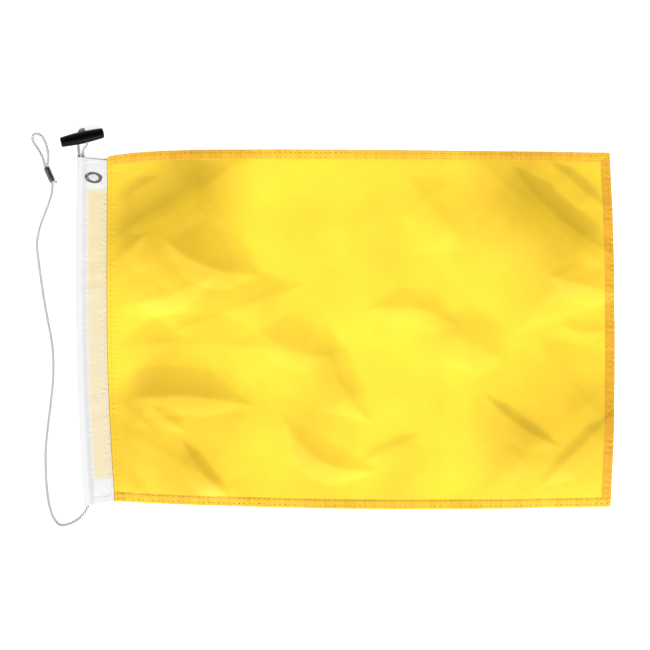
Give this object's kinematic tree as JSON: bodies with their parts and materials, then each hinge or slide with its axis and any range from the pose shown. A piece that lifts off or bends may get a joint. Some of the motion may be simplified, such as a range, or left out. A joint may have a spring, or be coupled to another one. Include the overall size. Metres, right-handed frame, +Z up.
{
  "type": "rope and toggle signal flag",
  "caption": "Plain rectangular nylon signal flag with a folded heading, a halyard rope, a toggle at the head and a crimped eye on a tail line at the foot.",
  "frame": {"origin": "on the surface the flag lies on, under the middle of the flag and its toggle", "axes": "+X from the heading to the fly, +Y towards the head of the hoist, +Z up from the surface"},
  "size_m": [0.4993, 0.3414, 0.0158],
  "materials": {
    "field_cloth": "thin woven nylon, slightly glossy",
    "hem_cloth": "thin woven nylon in three layers",
    "hem_thread": "polyester sewing thread",
    "heading_cloth": "woven polyester tape, matte",
    "heading_thread": "polyester sewing thread",
    "rope": "braided polyester cord",
    "toggle_plastic": "smooth moulded nylon, glossy",
    "ferrule_metal": "nickel-plated copper, polished"
  },
  "bodies": {
    "heading": {"heading": "heading_cloth", "head_turn_in": "heading_cloth", "foot_turn_in": "heading_cloth", "hoist_allowance": "field_cloth", "sleeve_rope": "rope", "becket_return": "rope", "becket_ferrule": "ferrule_metal", "tail_root": "rope", "sleeve_seam_thread": "heading_thread", "hoist_seam_thread_outer": "heading_thread", "hoist_seam_thread_inner": "heading_thread", "head_end_thread": "heading_thread", "foot_end_thread": "heading_thread"},
    "field": {"field_panel": "field_cloth", "head_hem": "hem_cloth", "foot_hem": "hem_cloth", "fly_hem": "hem_cloth", "head_hem_thread": "hem_thread", "foot_hem_thread": "hem_thread", "fly_hem_thread": "hem_thread"},
    "toggle": {"toggle": "toggle_plastic", "becket": "rope"},
    "tail": {"tail_rope": "rope"},
    "eye": {"eye_rope": "rope", "eye_ferrule": "ferrule_metal"}
  },
  "joints": [
    {"name": "field_fold", "type": "hinge", "parent": "heading", "child": "field", "pos_m": [-0.1885, 0, 0.001], "axis": [0, -1, 0], "range_deg": [0, 140]},
    {"name": "toggle_swing", "type": "hinge", "parent": "heading", "child": "toggle", "pos_m": [-0.2199, 0.1411, 0.0022], "axis": [0, 0, 1], "range_deg": [-15, 30]},
    {"name": "tail_swing", "type": "hinge", "parent": "heading", "child": "tail", "pos_m": [-0.2334, -0.176, 0.0015], "axis": [0, 0, 1], "range_deg": [0, 120]},
    {"name": "eye_swing", "type": "hinge", "parent": "tail", "child": "eye", "pos_m": [-0.2444, 0.1162, 0.0016], "axis": [0, 0, 1], "range_deg": [0, 60]}
  ]
}
